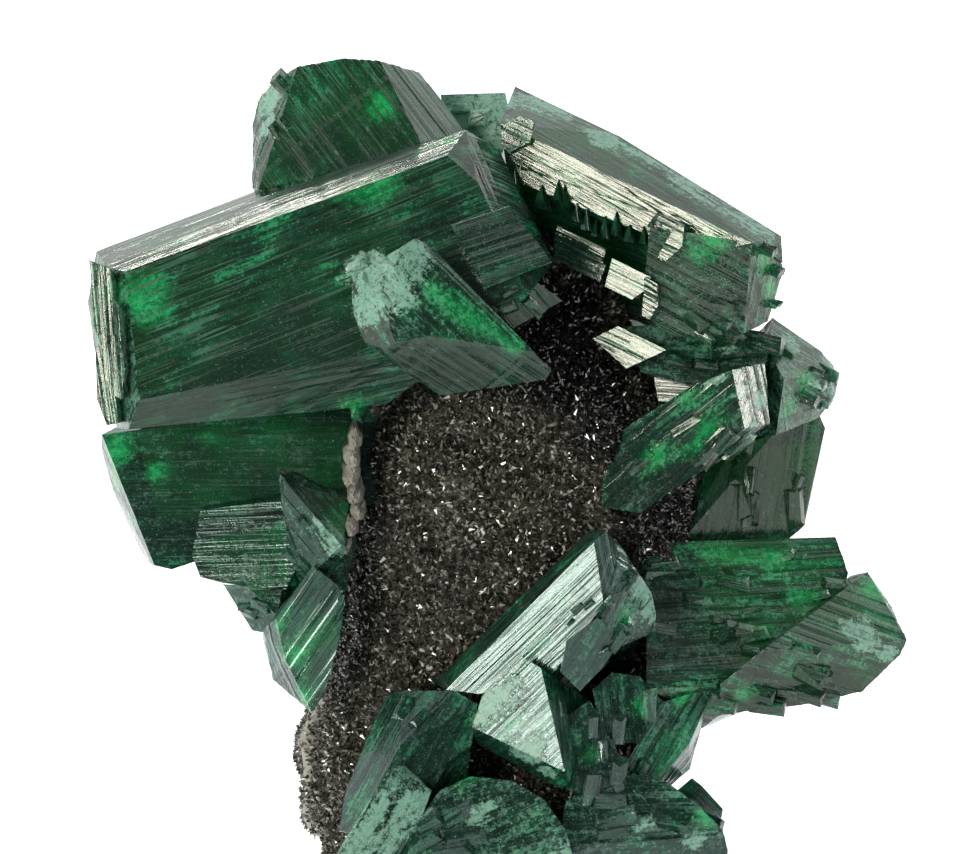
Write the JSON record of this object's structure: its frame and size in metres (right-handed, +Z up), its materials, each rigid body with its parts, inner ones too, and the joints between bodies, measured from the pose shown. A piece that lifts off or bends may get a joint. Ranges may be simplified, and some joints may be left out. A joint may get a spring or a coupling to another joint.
{
  "type": "adamite mineral specimen",
  "caption": "Thumbnail mineral specimen: stout striated deep green cuprian adamite crystals on a dark sparkling lump of gossan, standing on its flat base.",
  "frame": {"origin": "middle of the specimen's outline seen from above, at the level of its base", "axes": "+Z up, -Y towards the front that the picture shows, +X to the picture's right"},
  "size_m": [0.026, 0.0186, 0.029],
  "materials": {
    "adamite": "vitreous, translucent deep green, striated along each crystal",
    "gossan": "rough, coated with tiny glittering grains"
  },
  "bodies": {
    "root": {"gossan_matrix": "gossan", "upper_left_crystals": "adamite", "upper_right_crystals": "adamite", "right_crystals": "adamite", "lower_right_crystals": "adamite", "centre_crystals": "adamite", "lower_left_crystals": "adamite", "bottom_crystals": "adamite", "tiny_crystals": "adamite", "back_upper_crystal": "adamite", "back_middle_crystal": "adamite", "back_right_crystal": "adamite", "back_low_crystal": "adamite"}
  },
  "joints": []
}
